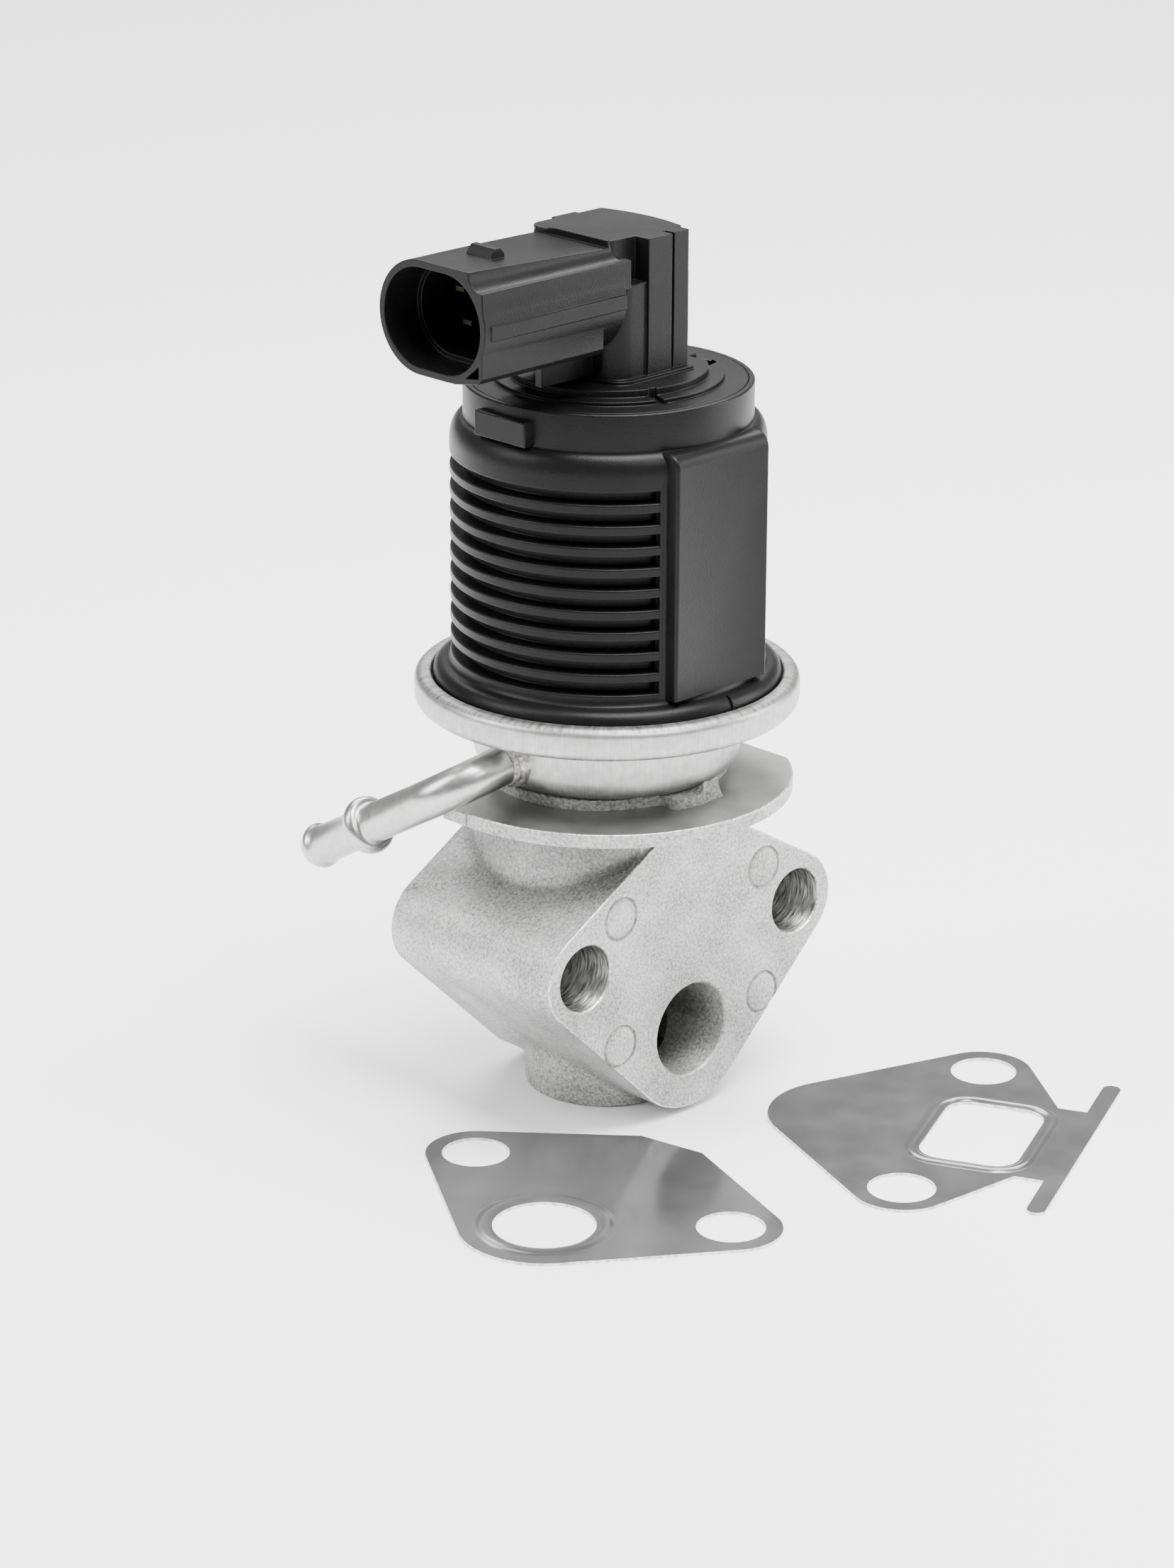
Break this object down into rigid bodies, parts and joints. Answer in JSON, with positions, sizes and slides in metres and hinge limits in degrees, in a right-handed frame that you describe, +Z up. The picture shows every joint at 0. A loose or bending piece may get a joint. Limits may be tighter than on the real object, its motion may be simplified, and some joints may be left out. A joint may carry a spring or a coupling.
{
  "type": "exhaust gas recirculation valve",
  "caption": "Solenoid exhaust gas recirculation valve with kite-shaped flange block, crimped steel cup, bent vent pipe, ribbed coil housing, side plug socket and loose flange gaskets.",
  "frame": {"origin": "centre of the foot boss's lower face, on the valve's axis", "axes": "+Z up along the valve's axis, -Y out of the front flange face with the round port, -X out of the plug socket's mouth"},
  "size_m": [0.0974, 0.1, 0.1207],
  "materials": {
    "cast_aluminium": "sand cast, light grey",
    "drawn_steel": "drawn sheet, satin",
    "pipe_steel": "drawn pipe, bright",
    "braze": "brazed fillet, dull",
    "gasket_steel": "coated sheet, satin",
    "fibre": "pressed fibre",
    "black_moulding": "glass-filled, fine texture",
    "valve_steel": "turned",
    "bush_bronze": "sintered",
    "seal_rubber": "matte",
    "magnet_iron": "turned, zinc plated",
    "sleeve_brass": "drawn",
    "spring_steel": "drawn wire",
    "coil_former": "moulded",
    "copper_wire": "enamelled copper",
    "contact_metal": "tinned",
    "white_plastic": "moulded, slippery"
  },
  "bodies": {
    "housing": {"cast_housing": "cast_aluminium", "bottom_plug": "valve_steel", "valve_seat": "valve_steel", "stem_guide": "bush_bronze", "stem_seal": "seal_rubber", "fibre_gasket": "fibre", "steel_cup": "drawn_steel", "vent_tube": "pipe_steel", "tube_braze": "braze", "flux_plate": "magnet_iron", "pole_core": "magnet_iron", "armature_tube": "sleeve_brass", "return_spring": "spring_steel", "bobbin": "coil_former", "winding": "copper_wire", "yoke_sleeve": "magnet_iron", "top_plate": "magnet_iron", "coil_leads": "contact_metal", "solenoid_body": "black_moulding", "body_seal": "seal_rubber", "cover_seal": "seal_rubber", "sensor_cover": "black_moulding", "sensor_track": "white_plastic", "sensor_spring": "spring_steel", "terminal_pins": "contact_metal", "gasket_front": "gasket_steel", "gasket_rear": "gasket_steel"},
    "pintle": {"valve_stem": "valve_steel", "armature": "magnet_iron", "armature_clip": "magnet_iron"},
    "sensor_slider": {"sensor_plunger": "white_plastic", "sensor_wiper": "contact_metal"}
  },
  "joints": [
    {"name": "valve_lift", "type": "slide", "parent": "housing", "child": "pintle", "axis": [0, 0, -1], "range_m": [0, 0.0042], "stiffness_N_per_m": 2500, "springref_m": -0.004, "deforming": ["return_spring"]},
    {"name": "sensor_travel", "type": "slide", "parent": "housing", "child": "sensor_slider", "axis": [0, 0, -1], "range_m": [0, 0.0042], "deforming": ["sensor_spring"]}
  ],
  "couplings": [
    {"joint": "sensor_travel", "follows": "valve_lift", "ratio": 1}
  ]
}
